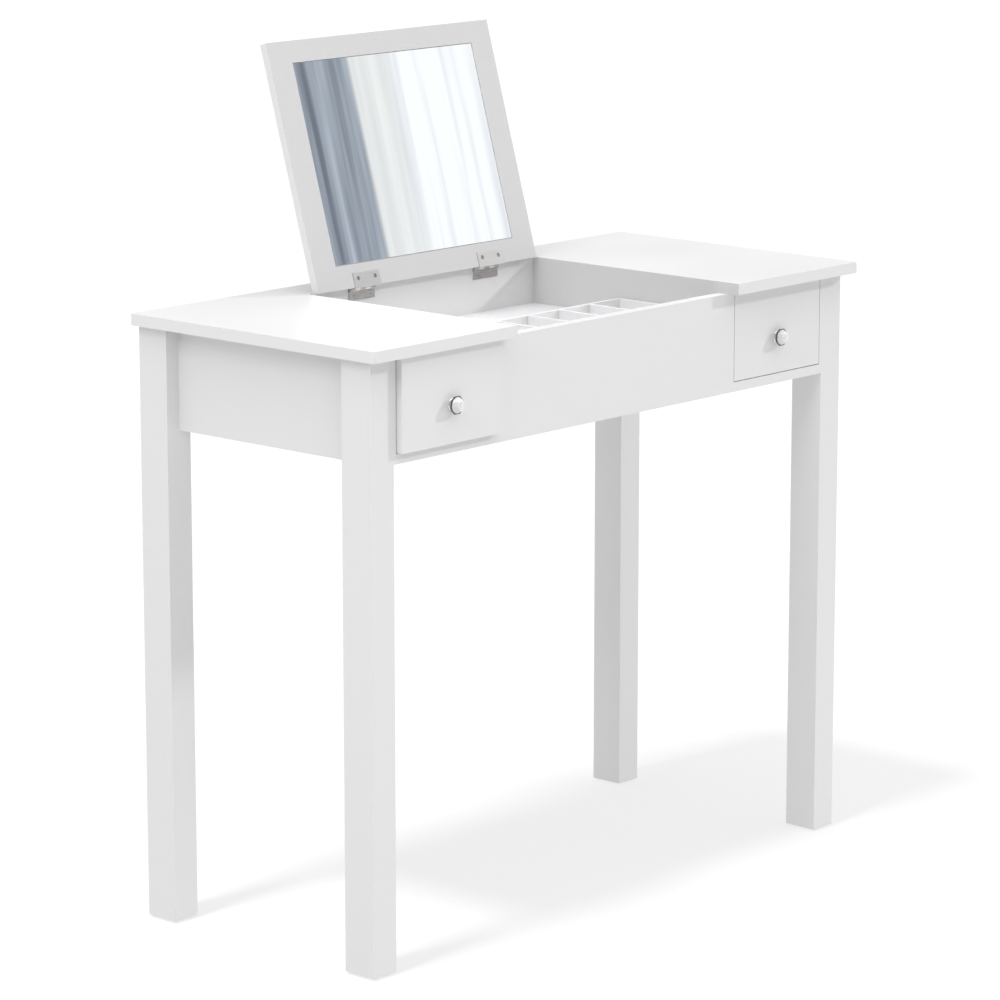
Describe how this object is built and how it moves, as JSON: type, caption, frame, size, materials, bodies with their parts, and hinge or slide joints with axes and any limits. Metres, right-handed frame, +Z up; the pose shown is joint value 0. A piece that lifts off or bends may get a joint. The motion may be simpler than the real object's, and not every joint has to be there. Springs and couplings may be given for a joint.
{
  "type": "vanity table with mirror",
  "caption": "White dressing table with a flip-up mirror lid over an organiser well, small drawers with clear faceted knobs and straight legs.",
  "frame": {"origin": "on the floor, under the middle of the outline's box (open lid and knobs included)", "axes": "+X to the sitter's right, +Y away from the sitter towards the wall, +Z up"},
  "size_m": [0.9, 0.4306, 1.051],
  "materials": {
    "white_lacquer": "satin white lacquer",
    "mirror_glass": "polished",
    "clear_crystal": "polished facets",
    "chrome": "polished",
    "nickel": "satin nickel plate",
    "zinc": "zinc plate",
    "black_steel": "blackened",
    "bearing_steel": "polished",
    "beech": "bare, fluted beech",
    "foam_tape": "matt foam",
    "glide_plastic": "matt"
  },
  "bodies": {
    "table": {"top_panel": "white_lacquer", "front_panel": "white_lacquer", "back_board": "white_lacquer", "left_side_apron": "white_lacquer", "right_side_apron": "white_lacquer", "left_divider": "white_lacquer", "right_divider": "white_lacquer", "compartment_floor": "white_lacquer", "front_left_leg": "white_lacquer", "front_right_leg": "white_lacquer", "back_left_leg": "white_lacquer", "back_right_leg": "white_lacquer", "foot_glides": "glide_plastic", "organiser_base": "white_lacquer", "organiser_long_walls": "white_lacquer", "organiser_end_walls": "white_lacquer", "organiser_dividers": "white_lacquer", "cam_locks": "zinc", "cam_bolts": "zinc", "frame_dowels": "beech", "top_dowels": "beech", "rail_dowels": "beech", "floor_screws": "zinc", "slide_battens": "white_lacquer", "left_fixed_slides": "zinc", "right_fixed_slides": "zinc", "fixed_slide_screws": "zinc", "hinge_body_leaves": "nickel", "hinge_pins": "nickel", "hinge_body_screws": "nickel"},
    "lid": {"lid_board": "white_lacquer", "mirror_glass": "mirror_glass", "mirror_tape": "foam_tape", "hinge_lid_leaves": "nickel", "hinge_lid_screws": "nickel"},
    "left_drawer": {"left_drawer_front": "white_lacquer", "left_drawer_sides": "white_lacquer", "left_drawer_back": "white_lacquer", "left_drawer_bottom": "white_lacquer", "left_drawer_dowels": "beech", "left_moving_slides": "zinc", "left_slide_screws": "zinc", "left_knob_base": "chrome", "left_knob_crystal": "clear_crystal", "left_knob_screw": "zinc"},
    "right_drawer": {"right_drawer_front": "white_lacquer", "right_drawer_sides": "white_lacquer", "right_drawer_back": "white_lacquer", "right_drawer_bottom": "white_lacquer", "right_drawer_dowels": "beech", "right_moving_slides": "zinc", "right_slide_screws": "zinc", "right_knob_base": "chrome", "right_knob_crystal": "clear_crystal", "right_knob_screw": "zinc"},
    "left_cage": {"left_ball_cages": "black_steel", "left_slide_balls": "bearing_steel"},
    "right_cage": {"right_ball_cages": "black_steel", "right_slide_balls": "bearing_steel"}
  },
  "joints": [
    {"name": "lid_hinge", "type": "hinge", "parent": "table", "child": "lid", "pos_m": [0, 0.12847, 0.747], "axis": [1, 0, 0], "range_deg": [0, 106]},
    {"name": "left_drawer_slide", "type": "slide", "parent": "table", "child": "left_drawer", "axis": [0, -1, 0], "range_m": [-0.0085, 0.1715]},
    {"name": "right_drawer_slide", "type": "slide", "parent": "table", "child": "right_drawer", "axis": [0, -1, 0], "range_m": [0, 0.18]},
    {"name": "left_cage_slide", "type": "slide", "parent": "table", "child": "left_cage", "axis": [0, -1, 0], "range_m": [-0.00425, 0.08575]},
    {"name": "right_cage_slide", "type": "slide", "parent": "table", "child": "right_cage", "axis": [0, -1, 0], "range_m": [0, 0.09]}
  ],
  "couplings": [
    {"joint": "left_cage_slide", "follows": "left_drawer_slide", "ratio": 0.5},
    {"joint": "right_cage_slide", "follows": "right_drawer_slide", "ratio": 0.5}
  ]
}
